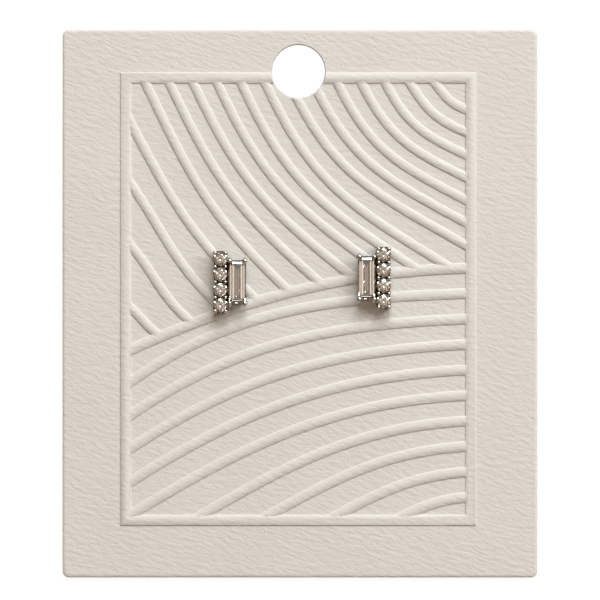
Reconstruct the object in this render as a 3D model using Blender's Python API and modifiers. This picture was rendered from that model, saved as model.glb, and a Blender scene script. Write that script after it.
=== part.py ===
"""A pair of stud earrings on an embossed display card, in metres, +Z up.

The card lies face up as it would on a table: its lower back edge and the tips of
both ear posts touch the table. Everything is modelled in the card's own frame
(X to the right, Y up the card, Z out of its front face) and hangs on one empty
that carries the resting tilt.
"""

import math

import bmesh
import bpy
import numpy as np

# Display card
CARD_WIDTH = 0.0650
CARD_HEIGHT = 0.0750
CARD_THICKNESS = 0.0010
CARD_CORNER_RADIUS = 0.0005
HANG_HOLE_DIAMETER = 0.0072
HANG_HOLE_DROP = 0.0057
HANG_HOLE_SHIFT = -0.0002
POST_HOLE_DIAMETER = 0.0011

# Raised frame on the card, from the card's edges to the frame rib's outer side
FRAME_LEFT_MARGIN = 0.0079
FRAME_RIGHT_MARGIN = 0.0084
FRAME_TOP_MARGIN = 0.0059
FRAME_BOTTOM_MARGIN = 0.0071
FRAME_RIB_WIDTH = 0.0015
FRAME_RIB_HEIGHT = 0.00032

# Curved ribs inside the frame
UPPER_RIB_WIDTH = 0.00130
LOWER_RIB_WIDTH = 0.00145
MEETING_RIB_WIDTH = 0.00150
CURVED_RIB_HEIGHT = 0.00026
MEETING_RIB_HEIGHT = 0.00029
RIB_FLANK = 0.00018
RIB_SINK = 0.00020
RIB_STEP = 0.0035

# Stones
ROUND_STONE_DIAMETER = 0.00200
ROUND_STONE_PITCH = 0.00211
ROUND_STONE_COUNT = 4
BAGUETTE_WIDTH = 0.00235
BAGUETTE_LENGTH = 0.00597
GIRDLE_THICKNESS = 0.00006
ROUND_GIRDLE_HEIGHT = 0.00175
BAGUETTE_GIRDLE_HEIGHT = 0.00180
BAGUETTE_END_STRETCH = 1.15
CROWN_ANGLE = math.radians(34)
PAVILION_ANGLE = math.radians(41)
TABLE_SHARE = 0.57
STAR_SHARE = 0.50
LOWER_HALF_SHARE = 0.75

# Settings, measured out from the card's front face
STONE_GAP = 0.00004
BAGUETTE_OFFSET = 0.00232
BASKET_CLEARANCE = 0.00010
PRONG_DIAMETER = 0.00038
BASE_WIRE_DIAMETER = 0.00035
SEAT_WIRE_DIAMETER = 0.00028
CROSS_WIRE_SHARE = 0.90
SEAT_WIRE_HEIGHT = 0.00122
BAR_PRONG_SPACING = 0.00141
BAR_BEAD_DIAMETER = 0.00052
BAR_END_BEAD_DIAMETER = 0.00060
BEAD_OVERLAP = 0.00016
BAR_BEAD_RISE = 0.00024
BAR_END_BEAD_RISE = 0.00034
BAGUETTE_PRONG_SPACING = 0.00204
BAGUETTE_INNER_BALL_DIAMETER = 0.00062
BAGUETTE_OUTER_BALL_DIAMETER = 0.00078
BAGUETTE_BALL_INSET = 0.00009
BAGUETTE_BALL_RISE = 0.00056
BAGUETTE_BASE_WIDTH = 0.00150
BAGUETTE_WIRE_TUCK = 0.00022
BAGUETTE_PRONG_TUCK = 0.00010
BAGUETTE_SHOULDER_HEIGHT = 0.00162
RAIL_DIAMETER = 0.00050
RAIL_DROP = 0.00005
BRIDGE_WIRE_DIAMETER = 0.00030
WIRE_OVERLAP = 0.00005
PRONG_FOOT_STUB = 0.00003
PAD_DIAMETER = 0.00176
PAD_THICKNESS = 0.00036
PAD_DROP = 0.00005

# Ear posts and nuts
POST_DIAMETER = 0.00080
POST_LENGTH_BEHIND_CARD = 0.0085
POST_TIP_CHAMFER = 0.00020
PAIR_SPACING = 0.01997
PAIR_CENTRE_X = 0.00027
PAIR_CENTRE_Y = 0.00320
SETTING_STAGGER = 0.00056
NUT_DIAMETER = 0.0046
NUT_FLANGE_THICKNESS = 0.0006
NUT_BARREL_DIAMETER = 0.0026
NUT_LENGTH = 0.0030
NUT_EDGE_RADIUS = 0.0003
NUT_BORE_CLEARANCE = 0.00004
NUT_CARD_GAP = 0.00010

# Mesh fineness
HOLE_SIDES = 32
WIRE_BEVEL_RESOLUTION = 2
BEAD_SEGMENTS = 10
BEAD_RINGS = 6
POST_SIDES = 12
NUT_STEPS = 20

CUT_MARGIN = 0.0010

FRAME_WIDTH = CARD_WIDTH - FRAME_LEFT_MARGIN - FRAME_RIGHT_MARGIN
FRAME_HEIGHT = CARD_HEIGHT - FRAME_TOP_MARGIN - FRAME_BOTTOM_MARGIN
FRAME_CENTRE_X = (FRAME_LEFT_MARGIN - FRAME_RIGHT_MARGIN) / 2
FRAME_CENTRE_Y = (FRAME_BOTTOM_MARGIN - FRAME_TOP_MARGIN) / 2

# The curved ribs run between places on the frame's centre line, given as shares of
# its width from the left and of its height from the top.
MEETING_RIB_ENDS = (0.62, 0.43)
MEETING_RIB_ANGLES = (25, 1)
UPPER_LEFT_STARTS = (0.51, 0.08, 4)
UPPER_TOP_STARTS = (0.05, 0.885, 13)
UPPER_MEETING_ENDS = (0.10, 0.945, 10)
UPPER_RIGHT_ENDS = (0.385, 0.075, 7)
# share along the upper family from lower left to upper right, slope where a rib
# leaves the frame and slope where it ends, both in degrees below the horizontal
UPPER_SLOPES = (
    (0.00, 40, 38),
    (0.20, 64, 46),
    (0.50, 66, 33),
    (0.90, 64, 24),
    (1.00, 52, 17),
)
UPPER_BEND = 0.44
LOWER_LEFT_STARTS = (0.695, 0.995, 5)
LOWER_BOTTOM_STARTS = (0.195, 0.78, 4)
LOWER_RIGHT_ENDS = (0.487, 0.948, 9)
LOWER_SLOPES = (
    (0.00, 36, 2),
    (1.00, 27, 3),
)
LOWER_BEND = 0.38


def clear_scene():
    for obj in list(bpy.data.objects):
        bpy.data.objects.remove(obj)


def new_collection(name):
    collection = bpy.data.collections.new(name)
    bpy.context.scene.collection.children.link(collection)
    return collection


def new_material(name, colour, roughness, metallic=0.0, transmission=0.0):
    material = bpy.data.materials.new(name)
    material.use_nodes = True
    shader = material.node_tree.nodes["Principled BSDF"]
    shader.inputs["Base Color"].default_value = (*colour, 1.0)
    shader.inputs["Roughness"].default_value = roughness
    shader.inputs["Metallic"].default_value = metallic
    shader.inputs["Transmission Weight"].default_value = transmission
    return material


def add_object(name, data, collection):
    obj = bpy.data.objects.new(name, data)
    collection.objects.link(obj)
    return obj


def mesh_object(name, build, collection):
    """A mesh object whose faces build() makes in a bmesh, with its normals turned outwards."""
    work = bmesh.new()
    build(work)
    bmesh.ops.recalc_face_normals(work, faces=work.faces)
    mesh = bpy.data.meshes.new(name)
    work.to_mesh(mesh)
    work.free()
    return add_object(name, mesh, collection)


def evaluated_mesh(obj):
    """The object's mesh with its modifiers applied, welded, in its own coordinates."""
    bpy.context.view_layer.update()
    graph = bpy.context.evaluated_depsgraph_get()
    mesh = bpy.data.meshes.new_from_object(obj.evaluated_get(graph))
    work = bmesh.new()
    work.from_mesh(mesh)
    bmesh.ops.remove_doubles(work, verts=work.verts, dist=1e-7)
    work.to_mesh(mesh)
    work.free()
    return mesh


def as_mesh_object(source, collection):
    """The same shape as a mesh object in its place. The source is removed."""
    obj = add_object(source.name + "_mesh", evaluated_mesh(source), collection)
    obj.matrix_world = source.matrix_world.copy()
    bpy.data.objects.remove(source)
    return obj


def tube(name, points, diameter, collection):
    """A round wire through the points, with filled ends, as a mesh object."""
    curve = bpy.data.curves.new(name, "CURVE")
    curve.dimensions = "3D"
    curve.bevel_depth = diameter / 2
    curve.bevel_resolution = WIRE_BEVEL_RESOLUTION
    curve.use_fill_caps = True
    spline = curve.splines.new("POLY")
    spline.points.add(len(points) - 1)
    for point, place in zip(spline.points, points):
        point.co = (*place, 1.0)
    return as_mesh_object(add_object(name, curve, collection), collection)


def ball(name, centre, diameter, collection):
    def build(work):
        bmesh.ops.create_uvsphere(
            work, u_segments=BEAD_SEGMENTS, v_segments=BEAD_RINGS, radius=diameter / 2
        )
        bmesh.ops.translate(work, vec=centre, verts=work.verts)

    return mesh_object(name, build, collection)


def cylinder(name, centre, diameter, low, high, sides, collection):
    """An upright cylinder of the card's frame, from low to high along Z."""

    def build(work):
        bmesh.ops.create_cone(
            work,
            cap_ends=True,
            segments=sides,
            radius1=diameter / 2,
            radius2=diameter / 2,
            depth=high - low,
        )
        bmesh.ops.translate(
            work, vec=(centre[0], centre[1], (low + high) / 2), verts=work.verts
        )

    return mesh_object(name, build, collection)


def tapered_box(name, size_low, size_high, low, high, collection):
    """A box round the frame's centre whose upper face has a size of its own."""

    def build(work):
        bmesh.ops.create_cube(work, size=1.0)
        for vertex in work.verts:
            upper = vertex.co.z > 0
            size = size_high if upper else size_low
            vertex.co.x = FRAME_CENTRE_X + vertex.co.x * size[0]
            vertex.co.y = FRAME_CENTRE_Y + vertex.co.y * size[1]
            vertex.co.z = high if upper else low

    return mesh_object(name, build, collection)


def combine(name, first, others, operation, collection, helpers):
    """The first object joined with, or cut by, the others, as one plain mesh object."""
    group = bpy.data.collections.new(name + "_pieces")
    helpers.children.link(group)
    for other in others:
        for holder in list(other.users_collection):
            holder.objects.unlink(other)
        group.objects.link(other)
        other.hide_render = True
        other.display_type = "WIRE"
    boolean = first.modifiers.new(name, "BOOLEAN")
    boolean.operation = operation
    boolean.solver = "EXACT"
    boolean.operand_type = "COLLECTION"
    boolean.collection = group
    result = add_object(name, evaluated_mesh(first), collection)
    result.matrix_world = first.matrix_world.copy()
    for used in [first, *others]:
        bpy.data.objects.remove(used)
    bpy.data.collections.remove(group)
    return result


def finish(obj, parent, material, smooth_angle=None):
    """Hangs a part on the resting empty and gives it its material and shading."""
    obj.parent = parent
    obj.data.materials.clear()
    obj.data.materials.append(material)
    if smooth_angle is not None:
        obj.data.shade_smooth()
        obj.data.set_sharp_from_angle(angle=smooth_angle)


def evenly(first, last, count):
    return [float(share) for share in np.linspace(first, last, count)]


def frame_place(share_x, share_y):
    """The point of the card's face at shares of the frame's centre line, from its upper left."""
    width = FRAME_WIDTH - FRAME_RIB_WIDTH
    height = FRAME_HEIGHT - FRAME_RIB_WIDTH
    x = FRAME_CENTRE_X + (share_x - 0.5) * width
    y = FRAME_CENTRE_Y + (0.5 - share_y) * height
    return np.array((x, y))


def heading(degrees_down):
    """The unit direction to the right that falls by this angle."""
    angle = math.radians(degrees_down)
    return np.array((math.cos(angle), -math.sin(angle)))


def bent_path(start, end, start_angle, end_angle, bend):
    """A cubic curve that leaves and arrives at given slopes. Its handles are bend x the chord."""
    reach = bend * float(np.linalg.norm(end - start))
    corners = np.array(
        (start, start + reach * heading(start_angle), end - reach * heading(end_angle), end)
    )
    steps = max(4, round(float(np.linalg.norm(end - start)) / RIB_STEP))
    t = np.linspace(0.0, 1.0, steps + 1)[:, None]
    weights = np.hstack(((1 - t) ** 3, 3 * t * (1 - t) ** 2, 3 * t**2 * (1 - t), t**3))
    return weights @ corners


def meeting_path():
    """The rib that rises from the left to the right and parts the two families."""
    left, right = MEETING_RIB_ENDS
    return bent_path(
        frame_place(0, left),
        frame_place(1, right),
        -MEETING_RIB_ANGLES[0],
        -MEETING_RIB_ANGLES[1],
        0.35,
    )


def on_meeting_path(share_x):
    path = meeting_path()
    x = frame_place(share_x, 0)[0]
    return np.array((x, np.interp(x, path[:, 0], path[:, 1])))


def family_paths(starts, ends, slopes, rising, bend):
    """One path for each pair of start and end, with slopes read along the family."""
    columns = np.array(slopes)
    paths = []
    for index, (start, end) in enumerate(zip(starts, ends)):
        share = index / (len(starts) - 1)
        leave = np.interp(share, columns[:, 0], columns[:, 1])
        arrive = np.interp(share, columns[:, 0], columns[:, 2])
        sign = -1 if rising else 1
        paths.append(bent_path(start, end, sign * leave, sign * arrive, bend))
    return paths


def upper_paths():
    starts = [frame_place(0, share) for share in evenly(*UPPER_LEFT_STARTS)]
    starts += [frame_place(share, 0) for share in evenly(*UPPER_TOP_STARTS)]
    ends = [on_meeting_path(share) for share in evenly(*UPPER_MEETING_ENDS)]
    ends += [frame_place(1, share) for share in evenly(*UPPER_RIGHT_ENDS)]
    return family_paths(starts, ends, UPPER_SLOPES, False, UPPER_BEND)


def lower_paths():
    starts = [frame_place(0, share) for share in evenly(*LOWER_LEFT_STARTS)]
    starts += [frame_place(share, 1) for share in evenly(*LOWER_BOTTOM_STARTS)]
    ends = [frame_place(1, share) for share in evenly(*LOWER_RIGHT_ENDS)]
    return family_paths(starts, ends, LOWER_SLOPES, True, LOWER_BEND)


def rib_profile(name, width, height, helpers):
    """A rib's section as a closed 2D curve: sloped flanks under a flat top, sunk into the board."""
    slope = RIB_FLANK / height
    foot = width / 2 + RIB_SINK * slope
    top = width / 2 - RIB_FLANK
    curve = bpy.data.curves.new(name, "CURVE")
    curve.dimensions = "2D"
    spline = curve.splines.new("POLY")
    corners = ((-foot, -RIB_SINK), (-top, height), (top, height), (foot, -RIB_SINK))
    spline.points.add(len(corners) - 1)
    for point, (x, y) in zip(spline.points, corners):
        point.co = (x, y, 0.0, 1.0)
    spline.use_cyclic_u = True
    profile = add_object(name, curve, helpers)
    profile.hide_render = True
    return profile


def rib(name, path, profile, collection):
    """The profile swept along a path on the card's face."""
    curve = bpy.data.curves.new(name, "CURVE")
    curve.dimensions = "3D"
    curve.twist_mode = "Z_UP"
    curve.bevel_mode = "OBJECT"
    curve.bevel_object = profile
    curve.use_fill_caps = True
    spline = curve.splines.new("POLY")
    spline.points.add(len(path) - 1)
    for point, (x, y) in zip(spline.points, path):
        point.co = (x, y, 0.0, 1.0)
    return as_mesh_object(add_object(name, curve, collection), collection)


def raised_frame(collection, helpers):
    """The rectangular rib: a tapered block with a tapered block taken out of its middle."""
    slope = RIB_FLANK / FRAME_RIB_HEIGHT
    spread = RIB_SINK * slope
    low, high = -RIB_SINK, FRAME_RIB_HEIGHT
    outer = np.array((FRAME_WIDTH, FRAME_HEIGHT))
    inner = outer - 2 * FRAME_RIB_WIDTH
    block = tapered_box(
        "frame_block", outer + 2 * spread, outer - 2 * RIB_FLANK, low, high, collection
    )
    beyond = CUT_MARGIN * slope
    window = tapered_box(
        "frame_window",
        inner - 2 * spread - 2 * beyond,
        inner + 2 * RIB_FLANK + 2 * beyond,
        low - CUT_MARGIN,
        high + CUT_MARGIN,
        collection,
    )
    return combine("raised_frame", block, [window], "DIFFERENCE", collection, helpers)


def board(collection):
    def build(work):
        bmesh.ops.create_cube(work, size=1.0)
        bmesh.ops.scale(work, vec=(CARD_WIDTH, CARD_HEIGHT, CARD_THICKNESS), verts=work.verts)
        bmesh.ops.translate(work, vec=(0, 0, -CARD_THICKNESS / 2), verts=work.verts)
        upright = [
            edge for edge in work.edges if abs(edge.verts[0].co.z - edge.verts[1].co.z) > 1e-6
        ]
        bmesh.ops.bevel(
            work,
            geom=upright,
            offset=CARD_CORNER_RADIUS,
            segments=3,
            profile=0.5,
            affect="EDGES",
        )

    return mesh_object("board", build, collection)


def stud_places():
    """The X and Y of each post on the card, with the side that its bar of stones is on."""
    half = PAIR_SPACING / 2
    return (
        ("left", -1, PAIR_CENTRE_X - half, -SETTING_STAGGER / 2),
        ("right", 1, PAIR_CENTRE_X + half, SETTING_STAGGER / 2),
    )


def build_card(collection, helpers):
    """Board, frame and ribs joined, then the hang hole and the post holes cut through."""
    relief = [raised_frame(collection, helpers)]
    families = (
        ("upper_rib", upper_paths(), UPPER_RIB_WIDTH, CURVED_RIB_HEIGHT),
        ("lower_rib", lower_paths(), LOWER_RIB_WIDTH, CURVED_RIB_HEIGHT),
        ("meeting_rib", [meeting_path()], MEETING_RIB_WIDTH, MEETING_RIB_HEIGHT),
    )
    for name, paths, width, height in families:
        profile = rib_profile(name + "_profile", width, height, helpers)
        for index, path in enumerate(paths):
            relief.append(rib(f"{name}_{index + 1}", path, profile, collection))
        bpy.data.objects.remove(profile)
    joined = combine("embossed_board", board(collection), relief, "UNION", collection, helpers)
    low = -CARD_THICKNESS - CUT_MARGIN
    high = FRAME_RIB_HEIGHT + CUT_MARGIN
    hole_centre = (HANG_HOLE_SHIFT, CARD_HEIGHT / 2 - HANG_HOLE_DROP)
    cutters = [
        cylinder(
            "hang_hole", hole_centre, HANG_HOLE_DIAMETER, low, high, HOLE_SIDES, collection
        )
    ]
    for side, _, x, _ in stud_places():
        cutters.append(
            cylinder(
                side + "_post_hole",
                (x, PAIR_CENTRE_Y),
                POST_HOLE_DIAMETER,
                low,
                high,
                POST_SIDES,
                collection,
            )
        )
    return combine("card", joined, cutters, "DIFFERENCE", collection, helpers)


def hull_of(name, points, collection):
    """A cut stone: its flat facets are the hull of its facets' corners."""

    def build(work):
        for point in points:
            work.verts.new(point)
        bmesh.ops.convex_hull(work, input=work.verts)

    return mesh_object(name, build, collection)


def ring(radius, height, count, turn):
    """Corners evenly round the stone's axis. turn is a share of one step."""
    angles = (np.arange(count) + turn) * 2 * math.pi / count
    return [(radius * math.cos(a), radius * math.sin(a), height) for a in angles]


def brilliant_points():
    """Facet corners of a round brilliant, the girdle at height 0."""
    radius = ROUND_STONE_DIAMETER / 2
    half_girdle = GIRDLE_THICKNESS / 2
    mains = 8
    lean = math.cos(math.pi / mains)
    table = radius * TABLE_SHARE
    star = table * lean + STAR_SHARE * (radius - table * lean)
    lower = radius * (1 - LOWER_HALF_SHARE)
    crown_slope = math.tan(CROWN_ANGLE)
    pavilion_slope = math.tan(PAVILION_ANGLE)
    points = ring(table, half_girdle + (radius - table) * crown_slope, mains, 0)
    points += ring(star, half_girdle + (radius - star * lean) * crown_slope, mains, 0.5)
    points += ring(radius, half_girdle, 2 * mains, 0)
    points += ring(radius, -half_girdle, 2 * mains, 0)
    points += ring(lower, -half_girdle - (radius - lower * lean) * pavilion_slope, mains, 0.5)
    points.append((0.0, 0.0, -half_girdle - radius * pavilion_slope))
    return points


# step of the cut, inset from the girdle as a share of half the stone's width, and
# height above the girdle as the same kind of share; at the two ends the insets are
# stretched, which makes the end facets a little longer than the side ones
BAGUETTE_STEPS = (
    ("table", 0.38, 0.22),
    ("crown step", 0.15, 0.13),
    ("first pavilion step", 0.24, -0.30),
    ("second pavilion step", 0.60, -0.62),
    ("keel", 0.995, -0.84),
)


def baguette_points():
    """Facet corners of a long step cut stone, the girdle at height 0."""
    half_width = BAGUETTE_WIDTH / 2
    half_length = BAGUETTE_LENGTH / 2
    half_girdle = GIRDLE_THICKNESS / 2
    levels = [(0.0, half_girdle), (0.0, -half_girdle)]
    for _, inset, height in BAGUETTE_STEPS:
        edge = half_girdle if height > 0 else -half_girdle
        levels.append((inset * half_width, edge + height * half_width))
    points = []
    for inset, height in levels:
        for x in (-1, 1):
            for y in (-1, 1):
                end = half_length - inset * BAGUETTE_END_STRETCH
                points.append((x * (half_width - inset), y * end, height))
    return points


def translate(points, x, y, z):
    return [(px + x, py + y, pz + z) for px, py, pz in points]


def bar_stone_offsets():
    """How far each round stone's centre lies from the bar's middle, from the bottom up."""
    middle = (ROUND_STONE_COUNT - 1) / 2
    return [(index - middle) * ROUND_STONE_PITCH for index in range(ROUND_STONE_COUNT)]


def bar_prong_rows():
    """The Y, shaft X, bead X, bead diameter and bead rise of each pair of bar prongs."""
    stones = bar_stone_offsets()
    half = BAR_PRONG_SPACING / 2
    rows = []
    for low, high in zip(stones, stones[1:]):
        y = (low + high) / 2
        rows.append((y, y, half, half, BAR_BEAD_DIAMETER, BAR_BEAD_RISE))
    # The end prongs' shafts stand just clear of the last stone, and the beads lean over its rim.
    reach = ROUND_STONE_DIAMETER / 2 + STONE_GAP + PRONG_DIAMETER / 2
    over = reach - BEAD_OVERLAP
    across = math.asin(half / over)
    for sign, stone in ((-1, stones[0]), (1, stones[-1])):
        shaft_y = stone + sign * reach * math.cos(across)
        bead_y = stone + sign * over * math.cos(across)
        rows.append(
            (
                shaft_y,
                bead_y,
                reach * math.sin(across),
                half,
                BAR_END_BEAD_DIAMETER,
                BAR_END_BEAD_RISE,
            )
        )
    return sorted(rows)


def stud_frame(side_sign, x, lift):
    """Places a point of a left stud, mirrored for the right one, on the card.

    The stud's own frame has the round stones' bar at X = 0 and the long stone beyond it.
    """
    post = BAGUETTE_OFFSET / 2

    def place(along, up, out):
        return (x - side_sign * (along - post), PAIR_CENTRE_Y + lift + up, out)

    return place


def build_setting(side, side_sign, x, lift, collection, helpers):
    """Both baskets, their prongs and beads, the pad and the post as one soldered solid."""
    place = stud_frame(side_sign, x, lift)
    base = FRAME_RIB_HEIGHT + BASKET_CLEARANCE + PRONG_DIAMETER / 2
    seat = SEAT_WIRE_HEIGHT
    foot_z = base - PRONG_DIAMETER / 2 - PRONG_FOOT_STUB
    pieces = []

    def wire(points, diameter):
        pieces.append(
            tube(f"{side}_wire_{len(pieces)}", [place(*p) for p in points], diameter, collection)
        )

    def bead(centre, diameter):
        pieces.append(ball(f"{side}_bead_{len(pieces)}", place(*centre), diameter, collection))

    rows = bar_prong_rows()
    half = BAR_PRONG_SPACING / 2
    bead_base = ROUND_GIRDLE_HEIGHT + GIRDLE_THICKNESS / 2
    for shaft_y, bead_y, shaft_x, bead_x, diameter, rise in rows:
        top = bead_base + rise
        for sign in (-1, 1):
            wire(
                (
                    (sign * shaft_x, shaft_y, foot_z),
                    (sign * shaft_x, shaft_y, top - rise / 2),
                    (sign * bead_x, bead_y, top),
                ),
                PRONG_DIAMETER,
            )
            bead((sign * bead_x, bead_y, top), diameter)
        for height, diameter in ((base, BASE_WIRE_DIAMETER), (seat, SEAT_WIRE_DIAMETER)):
            wire(
                ((-shaft_x, shaft_y, height), (shaft_x, shaft_y, height)),
                diameter * CROSS_WIRE_SHARE,
            )
    first, last = rows[0], rows[-1]
    for sign in (-1, 1):
        for height, diameter in ((base, BASE_WIRE_DIAMETER), (seat, SEAT_WIRE_DIAMETER)):
            run = [(sign * first[2], first[0], height)]
            run += [(sign * half, row[0], height) for row in rows[1:-1]]
            run.append((sign * last[2], last[0], height))
            wire(run, diameter)

    shaft_y = BAGUETTE_LENGTH / 2 + STONE_GAP + PRONG_DIAMETER / 2
    seat_y = BAGUETTE_LENGTH / 2 - BAGUETTE_PRONG_TUCK
    under_y = BAGUETTE_LENGTH / 2 - BAGUETTE_WIRE_TUCK
    ball_y = BAGUETTE_LENGTH / 2 - BAGUETTE_BALL_INSET
    top = BAGUETTE_GIRDLE_HEIGHT + GIRDLE_THICKNESS / 2 + BAGUETTE_BALL_RISE
    half = BAGUETTE_PRONG_SPACING / 2
    base_half = BAGUETTE_BASE_WIDTH / 2
    for end in (-1, 1):
        for sign, diameter in (
            (-1, BAGUETTE_INNER_BALL_DIAMETER),
            (1, BAGUETTE_OUTER_BALL_DIAMETER),
        ):
            across = BAGUETTE_OFFSET + sign * half
            foot = BAGUETTE_OFFSET + sign * base_half
            wire(
                (
                    (foot, end * under_y, foot_z),
                    (foot, end * under_y, base),
                    (across, end * seat_y, seat),
                    (across, end * shaft_y, BAGUETTE_SHOULDER_HEIGHT),
                    (across, end * shaft_y, top - diameter / 2),
                    (across, end * ball_y, top),
                ),
                PRONG_DIAMETER,
            )
            bead((across, end * ball_y, top), diameter)
        for height, reach, diameter in (
            (base, base_half, BASE_WIRE_DIAMETER),
            (seat, half, SEAT_WIRE_DIAMETER),
        ):
            wire(
                (
                    (BAGUETTE_OFFSET - reach - WIRE_OVERLAP, end * under_y, height),
                    (BAGUETTE_OFFSET + reach + WIRE_OVERLAP, end * under_y, height),
                ),
                diameter * CROSS_WIRE_SHARE,
            )
    side_y = under_y + WIRE_OVERLAP
    for sign in (-1, 1):
        for height, reach, diameter in (
            (base, base_half, BASE_WIRE_DIAMETER),
            (seat, half, SEAT_WIRE_DIAMETER),
        ):
            across = BAGUETTE_OFFSET + sign * reach
            wire(((across, -side_y, height), (across, side_y, height)), diameter)

    # The rail fills the narrow gap between the round stones and the long stone, under both.
    gap_middle = (ROUND_STONE_DIAMETER / 2 + BAGUETTE_OFFSET - BAGUETTE_WIDTH / 2) / 2
    rail = seat - RAIL_DROP
    wire(((gap_middle, -under_y, rail), (gap_middle, under_y, rail)), RAIL_DIAMETER)

    bridge_start = BAR_PRONG_SPACING / 2 - WIRE_OVERLAP
    bridge_end = BAGUETTE_OFFSET - base_half + WIRE_OVERLAP
    for row in rows[1:-1]:
        wire(
            ((bridge_start, row[0], base), (bridge_end, row[0], base)), BRIDGE_WIRE_DIAMETER
        )

    pad_low = FRAME_RIB_HEIGHT + BASKET_CLEARANCE - PAD_DROP
    pieces.append(
        cylinder(
            side + "_pad",
            (x, PAIR_CENTRE_Y),
            PAD_DIAMETER,
            pad_low,
            pad_low + PAD_THICKNESS,
            POST_SIDES,
            collection,
        )
    )
    post = build_post(side, x, pad_low + PAD_THICKNESS / 2, collection)
    return combine(side + "_setting", post, pieces, "UNION", collection, helpers)


def build_post(side, x, top, collection):
    """The ear post: a straight pin with a chamfered tip, from inside the pad to behind the card."""
    tip = -CARD_THICKNESS - POST_LENGTH_BEHIND_CARD
    radius = POST_DIAMETER / 2

    def build(work):
        made = bmesh.ops.create_cone(
            work,
            cap_ends=True,
            segments=POST_SIDES,
            radius1=radius,
            radius2=radius,
            depth=top - tip,
        )
        bmesh.ops.translate(
            work, vec=(x, PAIR_CENTRE_Y, (top + tip) / 2), verts=made["verts"]
        )
        rim = [edge for edge in work.edges if all(v.co.z < tip + 1e-6 for v in edge.verts)]
        bmesh.ops.bevel(
            work, geom=rim, offset=POST_TIP_CHAMFER, segments=1, profile=0.5, affect="EDGES"
        )

    return mesh_object(side + "_post", build, collection)


def nut_profile(bore):
    """Radius and height of the nut's turned outline, down its outer side and up its bore."""
    outer = NUT_DIAMETER / 2
    barrel = NUT_BARREL_DIAMETER / 2
    edge = NUT_EDGE_RADIUS
    quarter = np.linspace(0.0, math.pi / 2, 4)
    # The upper end, on the card's side, is the flange. The lower end is rounded.
    points = [(bore, 0.0), (outer, 0.0), (outer, -NUT_FLANGE_THICKNESS)]
    points.append((barrel, -NUT_FLANGE_THICKNESS))
    for angle in quarter:
        points.append(
            (
                barrel - edge + edge * math.cos(angle),
                -NUT_LENGTH + edge - edge * math.sin(angle),
            )
        )
    points.append((bore, -NUT_LENGTH))
    return points


def build_nut(side, x, collection):
    """A plain friction nut: a flange against the card's back and a barrel round the post."""
    bore = POST_DIAMETER / 2 + NUT_BORE_CLEARANCE
    points = nut_profile(bore)
    mesh = bpy.data.meshes.new(side + "_ear_nut")
    count = len(points)
    edges = [(index, (index + 1) % count) for index in range(count)]
    mesh.from_pydata([(radius, 0.0, height) for radius, height in points], edges, [])
    obj = add_object(side + "_ear_nut", mesh, collection)
    screw = obj.modifiers.new("turned", "SCREW")
    screw.steps = NUT_STEPS
    screw.render_steps = NUT_STEPS
    screw.use_merge_vertices = True
    screw.merge_threshold = 1e-6
    obj.location = (x, PAIR_CENTRE_Y, -CARD_THICKNESS - NUT_CARD_GAP)
    return obj


def resting_empty(collection):
    """Tilts the card so that its lower back edge and both post tips touch Z = 0."""
    tip_reach = PAIR_CENTRE_Y - (POST_DIAMETER / 2 - POST_TIP_CHAMFER) + CARD_HEIGHT / 2
    tilt = math.atan2(POST_LENGTH_BEHIND_CARD, tip_reach)
    empty = add_object("resting_frame", None, collection)
    empty.rotation_euler = (tilt, 0.0, 0.0)
    empty.location = (
        0.0,
        -CARD_THICKNESS * math.sin(tilt) / 2,
        CARD_HEIGHT / 2 * math.sin(tilt) + CARD_THICKNESS * math.cos(tilt),
    )
    return empty


def build_stud(side, side_sign, x, lift, materials, parent, collection, helpers):
    setting = build_setting(side, side_sign, x, lift, collection, helpers)
    finish(setting, parent, materials["metal"], math.radians(50))
    place = stud_frame(side_sign, x, lift)
    for index, offset in enumerate(bar_stone_offsets()):
        points = translate(brilliant_points(), *place(0.0, offset, ROUND_GIRDLE_HEIGHT))
        stone = hull_of(f"{side}_round_stone_{index + 1}", points, collection)
        finish(stone, parent, materials["stone"])
    points = translate(
        baguette_points(), *place(BAGUETTE_OFFSET, 0.0, BAGUETTE_GIRDLE_HEIGHT)
    )
    finish(
        hull_of(side + "_baguette_stone", points, collection), parent, materials["stone"]
    )
    finish(build_nut(side, x, collection), parent, materials["nut"], math.radians(50))


def main():
    clear_scene()
    parts = new_collection("stud_earrings_on_card")
    helpers = new_collection("cutters")
    materials = {
        "card": new_material("card_board", (0.71, 0.66, 0.60), 0.95),
        "metal": new_material("polished_silver", (0.90, 0.88, 0.85), 0.12, metallic=1.0),
        "stone": new_material("clear_stone", (0.95, 0.95, 0.93), 0.02, transmission=1.0),
        "nut": new_material("plain_silver", (0.88, 0.87, 0.85), 0.25, metallic=1.0),
    }
    rest = resting_empty(parts)
    finish(build_card(parts, helpers), rest, materials["card"])
    for side, side_sign, x, lift in stud_places():
        build_stud(side, side_sign, x, lift, materials, rest, parts, helpers)


main()
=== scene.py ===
"""The looks of a pair of stud earrings on an embossed display card, in metres, +Z up.

Every shape is worked out in the card's own frame, with X to the right, Y up the card
and Z out of its front face. It is then laid at rest, where the card leans on its lower
back edge and on the tips of both ear posts.
"""

import logging
import math
from dataclasses import dataclass
from enum import Enum

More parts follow.
